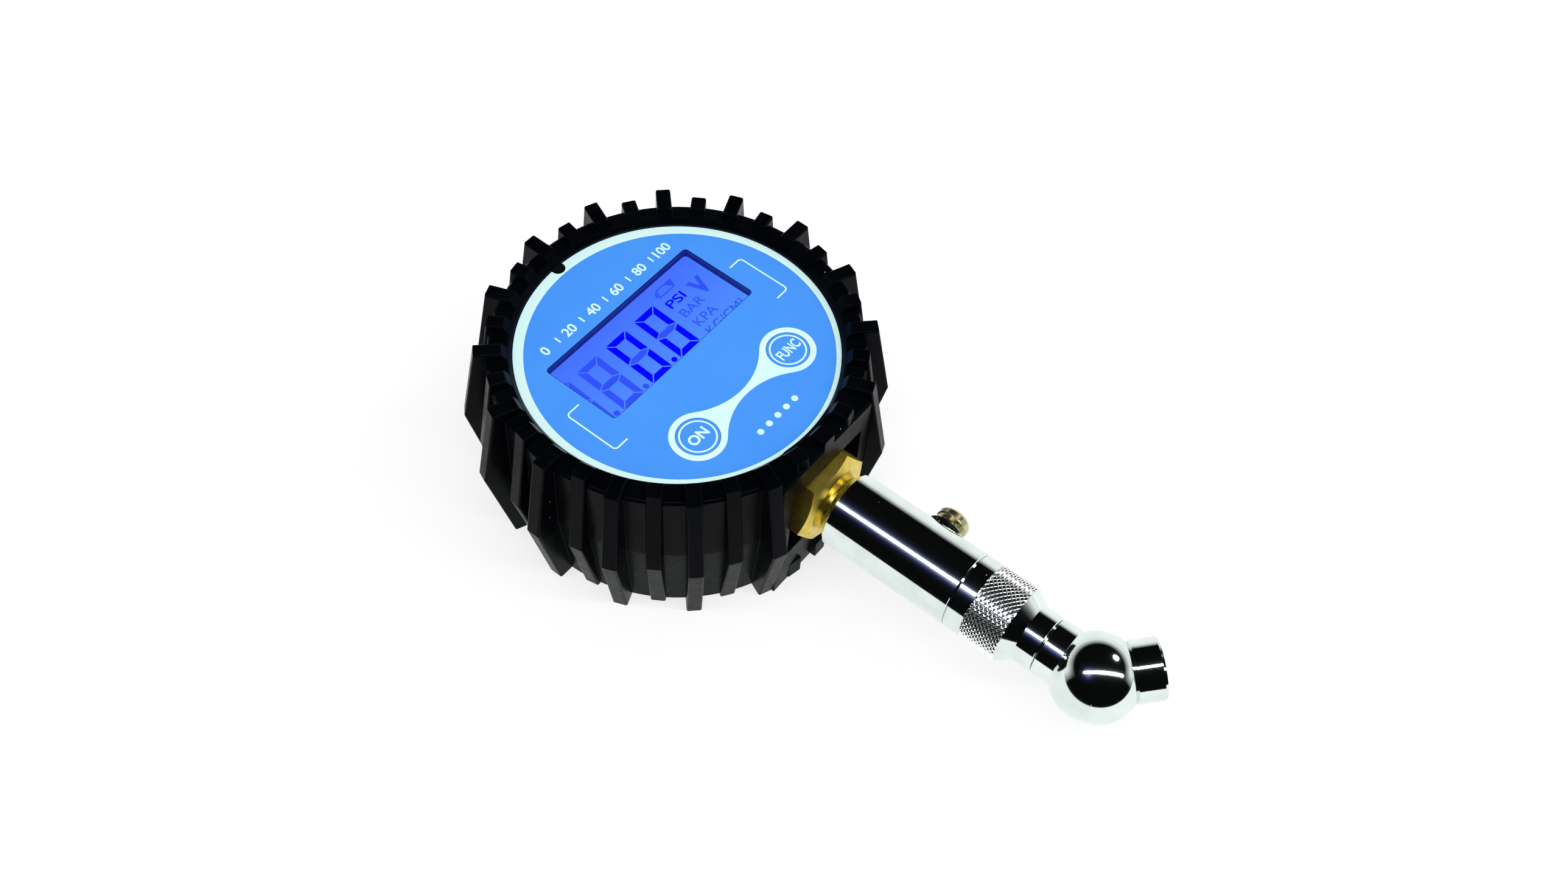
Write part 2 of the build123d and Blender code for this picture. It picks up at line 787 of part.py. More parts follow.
# Rubber boot.
def rib(shoulder_out, waist_out, waist_z, foot_out):
    section = Polyline(
        (case_r, -boot_base), (case_r + foot_out, -boot_base), (case_r + waist_out, waist_z),
        (case_r + shoulder_out, rib_top_z), (rib_crest_r, rib_top_z), (boot_lip_r + 0.1, boot_lip_z),
        (case_r, boot_lip_z), close=True,
    )
    body = extrude(Plane.XZ * make_face(section), rib_w / 2, both=True)
    sides = body.edges().filter_by(lambda edge: abs(edge.center().Y) > rib_w / 2 - 0.01)
    outer = sides.filter_by(lambda edge: edge.center().X > case_r + 0.1 and edge.center().Z > 0)
    return fillet(outer, rib_round)


def rubber_boot():
    wall = turned(
        (boot_open_r, -boot_base), (boot_foot_r, -boot_base), (boot_waist_r, boot_waist_z),
        (boot_edge_r, boot_edge_z - edge_round), (boot_edge_r - edge_round, boot_edge_z),
        (boot_crest_r, boot_crest_z), (boot_lip_r, boot_lip_z), (boot_lip_r, face_z + rim_lip),
        (boot_open_r, face_z + rim_lip),
    )
    pad_section = Polyline(
        (-inner_r, -boot_base), (-pad_foot_u, -boot_base), (-pad_u, boot_waist_z),
        (-pad_u, boot_edge_z - edge_round), (-pad_u + edge_round, boot_edge_z), (-inner_r, boot_edge_z),
        close=True,
    )
    pad = extrude(Plane.YZ * make_face(pad_section), pad_half_w, both=True)
    boot = wall + pad
    big = rib(big_shoulder_out, big_waist_out, big_waist_z, big_foot_out)
    small = rib(small_shoulder_out, small_waist_out, small_waist_z, small_foot_out)
    for number in range(2, rib_count - 1):
        turn = number * rib_pitch - 90
        boot += Rot(0, 0, turn) * (small if number % 2 else big)
    boot += stem_side_ribs(small)
    boot -= turned(
        (0, 0), (case_r - back_edge, 0), (case_r, back_edge), (case_r, face_z + rim_lip),
        (0, face_z + rim_lip),
    )
    boot -= rod(boot_open_r, -boot_base, 0)
    boot -= on_stem(rod(port_boss_r + boss_gap, port_boss_u, hex_seat_u + boss_gap))
    boot -= rod(boot_lip_r, face_z, rib_top_z)
    window_half_w = hex_af / math.sqrt(3) + hex_window_gap_x
    window_half_h = hex_af / 2 + hex_window_gap_z
    window = on_stem(slab(2 * window_half_w, 2 * window_half_h, 0, 2 * case_r))
    return boot - window


def stem_side_ribs(small):
    # Over the stem the ribs keep only their tops, and under it short stubs at the boot's base.
    top_zone = Pos(0, 0, boot_edge_z - edge_round) * Box(
        2 * pad_half_w, 2 * pad_u, 2 * rib_top_z, align=(Align.CENTER, Align.CENTER, Align.MIN)
    )
    stub_section = Polyline(
        (-inner_r, -boot_base), (-stub_u, -boot_base), (-stub_u, stub_top_z - stub_slope),
        (-inner_r, stub_top_z), close=True,
    )
    stub = extrude(Plane.YZ * make_face(stub_section), rib_w / 2, both=True)
    pieces = []
    for number in (-1, 0, 1):
        turn = number * rib_pitch
        pieces.append((Rot(0, 0, turn - 90) * small) & top_zone)
        pieces.append(Rot(0, 0, turn) * stub)
    return pieces


def build():
    return {
        "rubber_boot": rubber_boot(),
        "front_case": front_case(),
        "rear_case": rear_case(),
        "battery_door": battery_door(),
        "door_screw": door_screw(),
        "case_screws": case_screws(),
        "face_label": face_label(),
        "display_lens": display_lens(),
        "on_key": key(-1),
        "func_key": key(1),
        "on_actuator": actuator(-1),
        "func_actuator": actuator(1),
        "on_switch": key_switch(-1),
        "func_switch": key_switch(1),
        "lcd_panel": lcd_panel(),
        "backlight_panel": backlight_panel(),
        "lcd_frame": lcd_frame(),
        "elastomer_strip": elastomer_strip(),
        "circuit_board": circuit_board(),
        "controller_chip": controller_chip(),
        "cell_left": cell(-1),
        "cell_right": cell(1),
        "contact_plates": contact_plates(),
        "contact_springs": contact_springs(),
        "stem_fitting": stem_fitting(),
        "sensor_seal": sensor_seal(),
        "pressure_sensor": pressure_sensor(),
        "stem_tube": stem_tube(),
        "knurled_collar": knurled_collar(),
        "bleed_bush": bleed_bush(),
        "bleed_button": bleed_button(),
        "bleed_poppet": bleed_poppet(),
        "bleed_spring": bleed_spring(),
        "ball_chuck": ball_chuck(),
        "swivel_seal": swivel_seal(),
        "swivel_clip": swivel_clip(),
        "nozzle": nozzle(),
        "valve_depressor": valve_depressor(),
        "nozzle_seal": nozzle_seal(),
    }


os.makedirs("parts", exist_ok=True)
for name, piece in build().items():
    shape = Compound(children=piece) if isinstance(piece, list) else piece
    export_step(shape, "parts/" + name + ".step")
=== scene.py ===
import bpy
import math
from mathutils import Matrix, Vector


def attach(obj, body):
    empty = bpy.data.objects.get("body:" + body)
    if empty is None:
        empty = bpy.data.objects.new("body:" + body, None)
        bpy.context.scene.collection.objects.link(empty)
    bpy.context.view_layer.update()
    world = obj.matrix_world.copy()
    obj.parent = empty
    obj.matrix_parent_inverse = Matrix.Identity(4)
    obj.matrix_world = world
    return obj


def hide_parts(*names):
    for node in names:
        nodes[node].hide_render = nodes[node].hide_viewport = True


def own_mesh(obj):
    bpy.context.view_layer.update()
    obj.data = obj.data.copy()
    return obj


# Digital tyre pressure gauge: ribbed boot, printed face over a backlit display, brass fitting, plated stem.
# Sizes in the dictionaries are millimetres in the frame of the CAD model, and colours are sRGB hex.

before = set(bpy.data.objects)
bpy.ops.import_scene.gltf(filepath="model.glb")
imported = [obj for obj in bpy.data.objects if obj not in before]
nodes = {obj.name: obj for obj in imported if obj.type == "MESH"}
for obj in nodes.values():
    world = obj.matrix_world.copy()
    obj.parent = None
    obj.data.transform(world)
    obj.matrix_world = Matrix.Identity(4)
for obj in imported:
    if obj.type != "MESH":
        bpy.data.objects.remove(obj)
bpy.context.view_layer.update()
print("frame loaded:", len(nodes), "nodes")


def mm(*values):
    return values[0] / 1000 if len(values) == 1 else Vector([value / 1000 for value in values])


def linear(hexColour):  # sRGB hex to what a colour socket takes
    parts = [int(hexColour[i:i + 2], 16) / 255 for i in (1, 3, 5)]
    return tuple(p / 12.92 if p <= 0.04045 else ((p + 0.055) / 1.055) ** 2.4 for p in parts) + (1.0,)


def addNode(tree, kind, settings=None, links=None):  # one node, its settings and what feeds it
    node = tree.nodes.new("ShaderNode" + kind)
    for key, value in (settings or {}).items():
        if isinstance(key, int) or key in node.inputs:
            node.inputs[key].default_value = value
        else:
            setattr(node, key, value)
    for key, source in (links or {}).items():
        tree.links.new(source.outputs[0] if hasattr(source, "outputs") else source, node.inputs[key])
    return node


# The camera stands where the photographer stood.
camera = {
    "place": (-138.0, -119.7, 260.3),
    "azimuth": -55.189,
    "elevation": 54.57,
    "roll": -4.393,
    "lens": 38.90,
}

azimuth, elevation, roll = (math.radians(camera[key]) for key in ("azimuth", "elevation", "roll"))
backward = Vector((
    math.sin(azimuth) * math.cos(elevation), -math.cos(azimuth) * math.cos(elevation), math.sin(elevation)
))
acrossView = Vector((math.cos(azimuth), math.sin(azimuth), 0))
upView = backward.cross(acrossView)
rollRight = math.cos(roll) * acrossView - math.sin(roll) * upView
rollUp = math.sin(roll) * acrossView + math.cos(roll) * upView
bpy.ops.object.camera_add(location=mm(*camera["place"]))
cameraObject = bpy.context.object
cameraObject.rotation_euler = Matrix((rollRight, rollUp, backward)).transposed().to_euler()
cameraObject.data.sensor_fit = "HORIZONTAL"
cameraObject.data.sensor_width = 36
cameraObject.data.lens = camera["lens"]
cameraObject.data.clip_start = 0.01
bpy.context.scene.camera = cameraObject
bpy.context.scene.view_settings.view_transform = "Standard"


# A long strip overhead, a small round lamp to the right, and a white sweep behind the object.
studio = {
    "floorZ": -2.02,
    "floorReach": 3000.0,
    "floorNear": 150.0,       # the table ends this far from the object on the camera's side
    "stripPlace": (-132.0, -335.0, 954.0),
    "stripSize": (2200.0, 110.0),
    "stripPower": 8.6,
    "lampPlace": (663.0, -304.0, 684.0),
    "lampRadius": 100.0,
    "lampPower": 1.0,
    "fill": 0.46,
    "sweepTop": 0.34,         # height of the white sweep as seen from the object, as the sine of its angle
    "sweepFade": 0.14,        # it fades out over this much either side of its top
    "sweepSide": (-0.15, 0.05),  # it comes in between these two, going from the camera's side to the far side
    "hazeToward": (-0.49, 0.22, 0.84),  # where the strip's lit haze is brightest, as the tube mirrors it
    "haze": (                 # the dark room's colour by distance from there, on a sphere of radius one
        (0.0, "#D2D6EC"), (0.07, "#8C94C0"), (0.17, "#33386A"), (0.3, "#0E0F22"), (0.5, "#040405"),
    ),
    "white": "#FFFFFF",
    "floorColour": "#E8E8E8",  # what the table bounces onto the object
    "floorShade": 0.34,       # how strongly lamps and shadow show on it
    "floorGlow": ((0.12, 0.72), (0.7, 0.92)),  # its own light near and far: metres from the object, strength
}


def grey(level):
    return (level, level, level, 1.0)


def aimLight(name, place, size, power, shape):
    bpy.ops.object.light_add(type="AREA", location=mm(*place))
    light = bpy.context.object
    light.name = name
    outward = mm(*place).normalized()
    along = (acrossView - acrossView.dot(outward) * outward).normalized()
    light.rotation_euler = Matrix((along, outward.cross(along), outward)).transposed().to_euler()
    light.data.shape = shape
    light.data.size = mm(size[0])
    light.data.size_y = mm(size[1])
    light.data.energy = power
    light.visible_camera = False


aimLight("stripLight", studio["stripPlace"], studio["stripSize"], studio["stripPower"], "RECTANGLE")
aimLight("roundLamp", studio["lampPlace"], (2 * studio["lampRadius"],) * 2, studio["lampPower"], "DISK")

# Seen by the camera the room is white, plain light falls on matte surfaces, and mirrors see sweep and haze.
world = bpy.data.worlds.new("studioRoom")
bpy.context.scene.world = world
world.use_nodes = True
tree = world.node_tree
tree.nodes.clear()
path = addNode(tree, "LightPath")
direction = addNode(tree, "SeparateXYZ", links={0: addNode(tree, "TexCoord").outputs["Generated"]})
facing = addNode(tree, "VectorMath", {"operation": "DOT_PRODUCT", 1: -backward * Vector((1, 1, 0))},
                 {0: addNode(tree, "TexCoord").outputs["Generated"]})
lowBand = addNode(tree, "MapRange", {"From Min": studio["sweepTop"] + studio["sweepFade"],
                                      "From Max": studio["sweepTop"] - studio["sweepFade"]},
                  {"Value": direction.outputs["Z"]})
farSide = addNode(tree, "MapRange", {"From Min": studio["sweepSide"][0], "From Max": studio["sweepSide"][1]},
                  {"Value": facing.outputs["Value"]})
sweep = addNode(tree, "Math", {"operation": "MULTIPLY"}, {0: lowBand, 1: farSide})
mirrored = addNode(tree, "Math", {"operation": "MAXIMUM"},
                   {0: path.outputs["Is Glossy Ray"], 1: path.outputs["Is Transmission Ray"]})
towardHaze = addNode(tree, "VectorMath", {"operation": "DISTANCE", 1: studio["hazeToward"]},
                     {0: addNode(tree, "TexCoord").outputs["Generated"]})
haze = addNode(tree, "ValToRGB", links={"Fac": towardHaze.outputs["Value"]})
while len(haze.color_ramp.elements) < len(studio["haze"]):
    haze.color_ramp.elements.new(0.5)
for stop, (position, colour) in zip(haze.color_ramp.elements, studio["haze"]):
    stop.position = position
    stop.color = linear(colour)
roomColour = addNode(tree, "Mix", {"data_type": "RGBA", 7: linear(studio["white"])}, {0: sweep, 6: haze})
fillColour = addNode(tree, "Mix", {"data_type": "RGBA", 6: grey(studio["fill"])},
                     {0: mirrored, 7: roomColour.outputs[2]})
seenColour = addNode(tree, "Mix", {"data_type": "RGBA", 7: linear(studio["white"])},
                     {0: path.outputs["Is Camera Ray"], 6: fillColour.outputs[2]})
room = addNode(tree, "Background", {"Strength": 1.0}, {"Color": seenColour.outputs[2]})
addNode(tree, "OutputWorld", links={"Surface": room})


touching = 0.01  # places nearer than this are the same, in millimetres


# A new piece is modelled on the part's own axes, and its object then sits at the origin.
def deselectAll():
    if bpy.context.object and bpy.context.object.mode != "OBJECT":
        bpy.ops.object.mode_set(mode="OBJECT")
    bpy.ops.object.select_all(action="DESELECT")


def settle(piece):
    bpy.context.view_layer.objects.active = piece
    bpy.ops.object.transform_apply(location=True, rotation=True, scale=True)


def addPrimitive(kind, name, place, stretch=(1, 1, 1), **settings):
    deselectAll()
    getattr(bpy.ops.mesh, "primitive_" + kind + "_add")(location=mm(*place), **settings)
    piece = bpy.context.object
    piece.name = piece.data.name = name
    piece.scale = stretch
    settle(piece)
    return piece


# Edit mode stays on, and what is selected has a middle that passes the test, in millimetres.
def pick(piece, kind, test):
    if piece.mode != "EDIT":
        bpy.context.view_layer.objects.active = piece
        bpy.ops.object.mode_set(mode="EDIT")
    bpy.ops.mesh.select_mode(type=kind)
    bpy.ops.mesh.select_all(action="DESELECT")
    bpy.ops.object.mode_set(mode="OBJECT")
    mesh = piece.data
    group = {"VERT": mesh.vertices, "EDGE": mesh.edges, "FACE": mesh.polygons}[kind]
    for item in group:
        corners = [item.index] if kind == "VERT" else item.vertices
        middle = sum((mesh.vertices[corner].co for corner in corners), Vector()) / len(corners) * 1000
        item.select = bool(test(middle, item))
    bpy.ops.object.mode_set(mode="EDIT")


def pickAll(piece):
    pick(piece, "VERT", lambda middle, item: True)


def leaveEdit():
    bpy.ops.object.mode_set(mode="OBJECT")


def useModifier(piece, kind, **settings):
    bpy.context.view_layer.objects.active = piece
    modifier = piece.modifiers.new(kind.lower(), kind)
    for key, value in settings.items():
        setattr(modifier, key, value)
    bpy.ops.object.modifier_apply(modifier=modifier.name)


def carve(piece, cutters, operation="DIFFERENCE"):
    for cutter in cutters:
        deselectAll()
        useModifier(piece, "BOOLEAN", object=cutter, operation=operation, solver="EXACT")
        bpy.data.objects.remove(cutter)


def faceUp(piece):  # a flat sheet's faces look along +Z
    pick(piece, "FACE", lambda middle, item: item.normal.z < 0)
    bpy.ops.mesh.flip_normals()
    leaveEdit()


def joinPieces(name, parts):
    deselectAll()
    for part in parts:
        part.select_set(True)
    bpy.context.view_layer.objects.active = parts[0]
    bpy.ops.object.join()
    parts[0].name = parts[0].data.name = name
    return parts[0]


def copyPiece(piece, name):  # the copy has its own mesh
    twin = piece.copy()
    twin.data = piece.data.copy()
    twin.name = twin.data.name = name
    bpy.context.scene.collection.objects.link(twin)
    return twin


def movePiece(piece, x, y, z):
    piece.data.transform(Matrix.Translation(mm(x, y, z)))


def finishPiece(piece, material, body, angle=35):
    deselectAll()
    piece.select_set(True)
    bpy.context.view_layer.objects.active = piece
    if angle:
        bpy.ops.object.shade_smooth_by_angle(angle=math.radians(angle))
    if material:
        piece.data.materials.clear()
        piece.data.materials.append(material)
    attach(piece, body)


# Patterns that several finishes share.
def startMaterial(name, settings, centre=(0, 0, 0)):
    material = bpy.data.materials.new(name)
    material.use_nodes = True
    tree = material.node_tree
    shader = tree.nodes["Principled BSDF"]
    for key, value in settings.items():
        shader.inputs[key].default_value = value
    place = addNode(tree, "Mapping", {  # turns the object's metres into millimetres about the centre
        "Scale": (1000, 1000, 1000), "Location": [-value for value in centre],
    }, {"Vector": addNode(tree, "TexCoord").outputs["Object"]})
    return material, tree, shader, place


noiseSpan = {"From Min": 0.3, "From Max": 0.7}  # most of a noise texture lies between these
waveLength = 0.314  # a wave texture of scale one repeats after this much


def drift(tree, place, size, low=0.0, high=1.0):  # a number that drifts over patches of this size
    noise = addNode(tree, "TexNoise", {"Scale": 1 / size, "Detail": 3.0}, {"Vector": place})
    return addNode(tree, "MapRange", {**noiseSpan, "To Min": low, "To Max": high}, {"Value": noise})


def mottle(tree, place, size, dark, light):  # a colour that drifts over patches of this size
    ends = {"data_type": "RGBA", 6: linear(dark), 7: linear(light)}
    return addNode(tree, "Mix", ends, {0: drift(tree, place, size)}).outputs[2]


def grain(tree, shader, place, size, height, under=None):  # noise relief, its size and height in millimetres
    noise = addNode(tree, "TexNoise", {"Scale": 1 / size, "Detail": 2.0}, {"Vector": place})
    bump = addNode(tree, "Bump", {"Distance": mm(height), "Strength": 1.0}, {"Height": noise})
    if under:
        tree.links.new(under.outputs[0], bump.inputs["Normal"])
    tree.links.new(bump.outputs[0], shader.inputs["Normal"])


def specks(tree, place, spacing, radius, share):  # 1 on round specks of this radius, 0 elsewhere
    cells = addNode(tree, "TexVoronoi", {"Scale": 1 / spacing}, {"Vector": place})
    near = addNode(tree, "Math", {"operation": "LESS_THAN", 1: radius / spacing},
                   {0: cells.outputs["Distance"]})
    chosen = addNode(tree, "SeparateColor", links={0: cells.outputs["Color"]})
    kept = addNode(tree, "Math", {"operation": "LESS_THAN", 1: share}, {0: chosen})
    return addNode(tree, "Math", {"operation": "MULTIPLY"}, {0: near, 1: kept})


# The table is white to the eye and in mirrors, keeps the object's shadow, and bounces light as paper does.
def paintTable():
    material = bpy.data.materials.new("matteTablePaper")
    material.use_nodes = True
    tree = material.node_tree
    tree.nodes.clear()
    path = addNode(tree, "LightPath")
    seen = addNode(tree, "Math", {"operation": "MAXIMUM"},
                   {0: path.outputs["Is Glossy Ray"], 1: path.outputs["Is Transmission Ray"]})
    seen = addNode(tree, "Math", {"operation": "MAXIMUM"}, {0: seen, 1: path.outputs["Is Camera Ray"]})
    place = addNode(tree, "TexCoord").outputs["Object"]
    away = addNode(tree, "VectorMath", {"operation": "LENGTH"}, {0: place})
    near, far = studio["floorGlow"]
    glow = addNode(tree, "MapRange", {
        "From Min": near[0], "To Min": near[1], "From Max": far[0], "To Max": far[1],
    }, {"Value": away.outputs["Value"]})
    paper = addNode(tree, "BsdfDiffuse", {"Color": linear(studio["floorColour"])})
    shaded = addNode(tree, "BsdfDiffuse", {"Color": grey(studio["floorShade"])})
    light = addNode(tree, "Emission", {"Color": linear(studio["white"])}, {"Strength": glow})
    white = addNode(tree, "AddShader", links={0: shaded, 1: light})
    both = addNode(tree, "MixShader", links={0: seen, 1: paper, 2: white})
    addNode(tree, "OutputMaterial", links={"Surface": both})
    return material


floor = addPrimitive("plane", "studioFloor", (0, 0, studio["floorZ"]), size=2 * mm(studio["floorReach"]))
pickAll(floor)
towardCamera = Vector((backward.x, backward.y, 0)).normalized()
bpy.ops.mesh.bisect(plane_co=towardCamera * mm(studio["floorNear"]), plane_no=towardCamera, clear_outer=True)
leaveEdit()
floor.data.materials.append(paintTable())
print("camera, lamps and table placed")


# Boot: EPDM rubber, compression moulded. Near black with a fine grain, and dust sits on it as white specks.
# The real grain is about 0.1 mm. It is drawn coarser, so that it shows.
boot = {
    "dark": "#020307", "light": "#05070B", "patch": 6.0, "specular": 0.03,
    "foot": "#0D1514", "footShare": 0.8, "footTop": 16.0, "footFull": 12.0,  # painted bounce light from the table: lighter from the first height down, fully below the second
    "roughLow": 0.25, "roughHigh": 0.36, "roughPatch": 1.5,
    "topRough": 0.24, "topStart": 29.0, "topFull": 31.5,  # the flat tops are polished by the mould
    "grainSize": 0.35, "grainHeight": 0.006, "edgeRound": 0.3,
    "dust": "#D8D8D4", "dustSpacing": 3.2, "dustRadius": 0.09, "dustShare": 0.35,
}


def mouldedRubber():
    material, tree, shader, place = startMaterial("mouldedRubber", {
        "IOR": 1.52, "Specular IOR Level": boot["specular"],
    })
    colour = mottle(tree, place, boot["patch"], boot["dark"], boot["light"])
    dust = specks(tree, place, boot["dustSpacing"], boot["dustRadius"], boot["dustShare"])
    height = addNode(tree, "SeparateXYZ", links={0: place}).outputs["Z"]
    # The lower walls are painted lighter: painted light standing in for light bounced up from the table.
    bounceShare = addNode(tree, "MapRange", {
        "From Min": boot["footTop"], "From Max": boot["footFull"], "To Max": boot["footShare"],
    }, {"Value": height})
    bounceLit = addNode(tree, "Mix", {"data_type": "RGBA", 7: linear(boot["foot"])}, {0: bounceShare, 6: colour})
    dusty = addNode(tree, "Mix", {"data_type": "RGBA", 7: linear(boot["dust"])},
                    {0: dust, 6: bounceLit.outputs[2]})
    tree.links.new(dusty.outputs[2], shader.inputs["Base Color"])
    top = addNode(tree, "MapRange", {"From Min": boot["topStart"], "From Max": boot["topFull"]},
                  {"Value": height})
    rough = drift(tree, place, boot["roughPatch"], boot["roughLow"], boot["roughHigh"])
    sheen = addNode(tree, "Mix", {"data_type": "FLOAT", 3: boot["topRough"]}, {0: top, 2: rough})
    tree.links.new(sheen.outputs[0], shader.inputs["Roughness"])
    rounded = addNode(tree, "Bevel", {"samples": 4, "Radius": mm(boot["edgeRound"])})
    grain(tree, shader, place, boot["grainSize"], boot["grainHeight"], rounded)
    return material


# Case, door and display frame: ABS, injection moulded. Satin, with the faint texture of the mould, which is
# drawn coarser than the real 0.1 mm. The switches' nylon, the chip's epoxy and the seals are moulded too.
plastic = {"patch": 5.0, "roughPatch": 2.0, "roughSpread": 0.12}


def mouldedPlastic(name, dark, light, rough, grainSize=0.5, grainHeight=0.004):
    material, tree, shader, place = startMaterial(name, {"IOR": 1.53})
    tree.links.new(mottle(tree, place, plastic["patch"], dark, light), shader.inputs["Base Color"])
    sheen = drift(tree, place, plastic["roughPatch"], rough, rough + plastic["roughSpread"])
    tree.links.new(sheen.outputs[0], shader.inputs["Roughness"])
    grain(tree, shader, place, grainSize, grainHeight)
    return material


# Printed face: polyester film, screen printed from behind. An even satin blue with a fine orange-peel.
face = {
    "blueDark": "#4297FF", "blueLight": "#469CFF", "ink": "#E0FFFF", "inkShade": "#D8FFFF",
    "inkHeight": 0.03, "patch": 9.0, "rough": 0.42, "roughPatch": 3.0, "roughSpread": 0.1, "specular": 0.3,
    "peelSize": 0.6, "peelHeight": 0.002,
}


def printedFilm(name, dark, light):
    material, tree, shader, place = startMaterial(name, {"IOR": 1.57, "Specular IOR Level": face["specular"]})
    tree.links.new(mottle(tree, place, face["patch"], dark, light), shader.inputs["Base Color"])
    sheen = drift(tree, place, face["roughPatch"], face["rough"], face["rough"] + face["roughSpread"])
    tree.links.new(sheen.outputs[0], shader.inputs["Roughness"])
    grain(tree, shader, place, face["peelSize"], face["peelHeight"])
    return material


stemAxis = (0, 0, 16.6)  # a point that the stem's axis runs through, along Y
buttonAxis = (0, -53.6, 16.6)  # and the deflator button's, along X


# Stem parts: brass under bright chromium plate, polished. A mirror with faint polishing lines and white dust.
# The real lines are too fine to show, so they are drawn wider.
plate = {
    "dark": "#D6E1DE", "light": "#E6F0ED", "patch": 4.0,
    "rough": 0.085, "lowShare": 0.9, "highShare": 1.15, "lineLength": 5.0, "lineWidth": 0.12,
    "waveSize": 3.0, "waveHeight": 0.002,
    "dust": "#FFFFFF", "dustRough": 0.5, "dustSpacing": 2.2, "dustRadius": 0.08, "dustShare": 0.35,
}


def chromePlate(name, dark=plate["dark"], light=plate["light"], polish=plate["rough"]):
    material, tree, shader, place = startMaterial(name, {}, centre=stemAxis)
    dust = specks(tree, place, plate["dustSpacing"], plate["dustRadius"], plate["dustShare"])
    metal = mottle(tree, place, plate["patch"], dark, light)
    colour = addNode(tree, "Mix", {"data_type": "RGBA", 7: linear(plate["dust"])}, {0: dust, 6: metal})
    tree.links.new(colour.outputs[2], shader.inputs["Base Color"])
    bare = addNode(tree, "Math", {"operation": "SUBTRACT", 0: 1.0}, {1: dust})
    tree.links.new(bare.outputs[0], shader.inputs["Metallic"])
    lines = addNode(tree, "Mapping", {"Scale": (1, plate["lineWidth"] / plate["lineLength"], 1)}, {0: place})
    streaks = drift(tree, lines, plate["lineWidth"] * 3,
                    polish * plate["lowShare"], polish * plate["highShare"])
    rough = addNode(tree, "Mix", {"data_type": "FLOAT", 3: plate["dustRough"]}, {0: dust, 2: streaks})
    tree.links.new(rough.outputs[0], shader.inputs["Roughness"])
    grain(tree, shader, place, plate["waveSize"], plate["waveHeight"])
    return material


# Fitting: bare brass, turned on a lathe. Yellow, with the faint rings of the tool about the stem.
# Real rings are about 0.1 mm apart. They are drawn coarser to show, and so are those of the other metals.
brass = {
    "dark": "#CEB448", "light": "#ECD666", "rough": 0.27, "ringPitch": 0.6, "ringHeight": 0.0004,
    "milledRough": 0.42, "neckEdge": (6.6, 7.2),  # the hexagon keeps the satin skin of the drawn bar
}
lathe = {"patch": 2.2, "roughPatch": 0.8, "lowShare": 0.75, "highShare": 1.35}


def turnedMetal(name, dark, light, rough, pitch, height, centre, axis="Y", milledRough=None):
    material, tree, shader, place = startMaterial(name, {"Metallic": 1.0}, centre=centre)
    tree.links.new(mottle(tree, place, lathe["patch"], dark, light), shader.inputs["Base Color"])
    sheen = drift(tree, place, lathe["roughPatch"], rough * lathe["lowShare"], rough * lathe["highShare"])
    if milledRough:  # beyond the turned neck
        across = addNode(tree, "VectorMath", {"operation": "MULTIPLY", 1: (1, 0, 1)}, {0: place})
        fromStem = addNode(tree, "VectorMath", {"operation": "LENGTH"}, {0: across})
        inner, outer = brass["neckEdge"]
        milled = addNode(tree, "MapRange", {"From Min": inner, "From Max": outer},
                         {"Value": fromStem.outputs["Value"]})
        sheen = addNode(tree, "Mix", {"data_type": "FLOAT", 3: milledRough}, {0: milled, 2: sheen})
    tree.links.new(sheen.outputs[0], shader.inputs["Roughness"])
    rings = addNode(tree, "TexWave", {"wave_type": "RINGS", "rings_direction": axis,
                                      "Scale": waveLength / pitch}, {0: place})
    bump = addNode(tree, "Bump", {"Distance": mm(height), "Strength": 1.0}, {"Height": rings.outputs["Fac"]})
    tree.links.new(bump.outputs[0], shader.inputs["Normal"])
    return material


# Display glass: an LCD on a blue LED backlight. It glows by itself, and the deeper blue toward the top edge
# is painted shade from the window's rim.
display = {
    # the wall colour is painted light: the display's blue glow on the window's shaded walls
    "glowLow": "#4A84FF", "glowHigh": "#3F68F6", "dark": "#0000FF", "faint": "#2C4CE8", "wall": "#000058",
    "unlit": "#04040C", "glow": 1.3, "glowFoot": -2.0, "glowHead": 14.0, "glowPatch": 7.0, "glowLeast": 0.96,
    "top": 27.8, "lift": 0.01, "segmentHeight": 0.02, "window": (36.8, 15.9), "centre": (0.0, 6.1),
    "digitWidth": 5.3, "digitHeight": 11.8, "bar": 1.5, "gap": 0.24, "lean": 0.044,
    "digitFoot": -1.02, "digitPlaces": (-22.2, -14.98, -7.6, -0.17), "restingDigits": 2, "underEdge": 0.3,
    "points": ((-1.15, -0.15, True), (-8.72, -0.23, False), (-16.21, -0.23, False)),  # x, y, driven or not
    "pointRadius": 0.55,
    "corner": 0.8, "linerLift": 0.05, "linerTop": 29.98, "linerGap": 0.02, "linerWall": 0.08,
}


def glowing(name, lowColour, highColour):
    material, tree, shader, place = startMaterial(name, {
        "Base Color": linear(display["unlit"]), "Roughness": 0.3, "IOR": 1.5,
        "Emission Strength": display["glow"],
    })
    along = addNode(tree, "SeparateXYZ", links={0: place}).outputs["Y"]
    # painted shade: the glow turns deeper toward the top edge, where the window's rim shades it
    rise = addNode(tree, "MapRange", {"From Min": display["glowFoot"], "From Max": display["glowHead"]},
                   {"Value": along})
    shade = addNode(tree, "Mix", {"data_type": "RGBA", 6: linear(lowColour), 7: linear(highColour)},
                    {0: rise})
    uneven = drift(tree, place, display["glowPatch"], display["glowLeast"], 1.0)
    tint = addNode(tree, "VectorMath", {"operation": "SCALE"}, {0: shade.outputs[2], "Scale": uneven})
    tree.links.new(tint.outputs[0], shader.inputs["Emission Color"])
    return material


# Window and light guide: cast acrylic, clear, with the faint waviness of a flow-polished sheet.
acrylic = {"patch": 6.0, "roughSpread": 0.02, "waveHeight": 0.001}


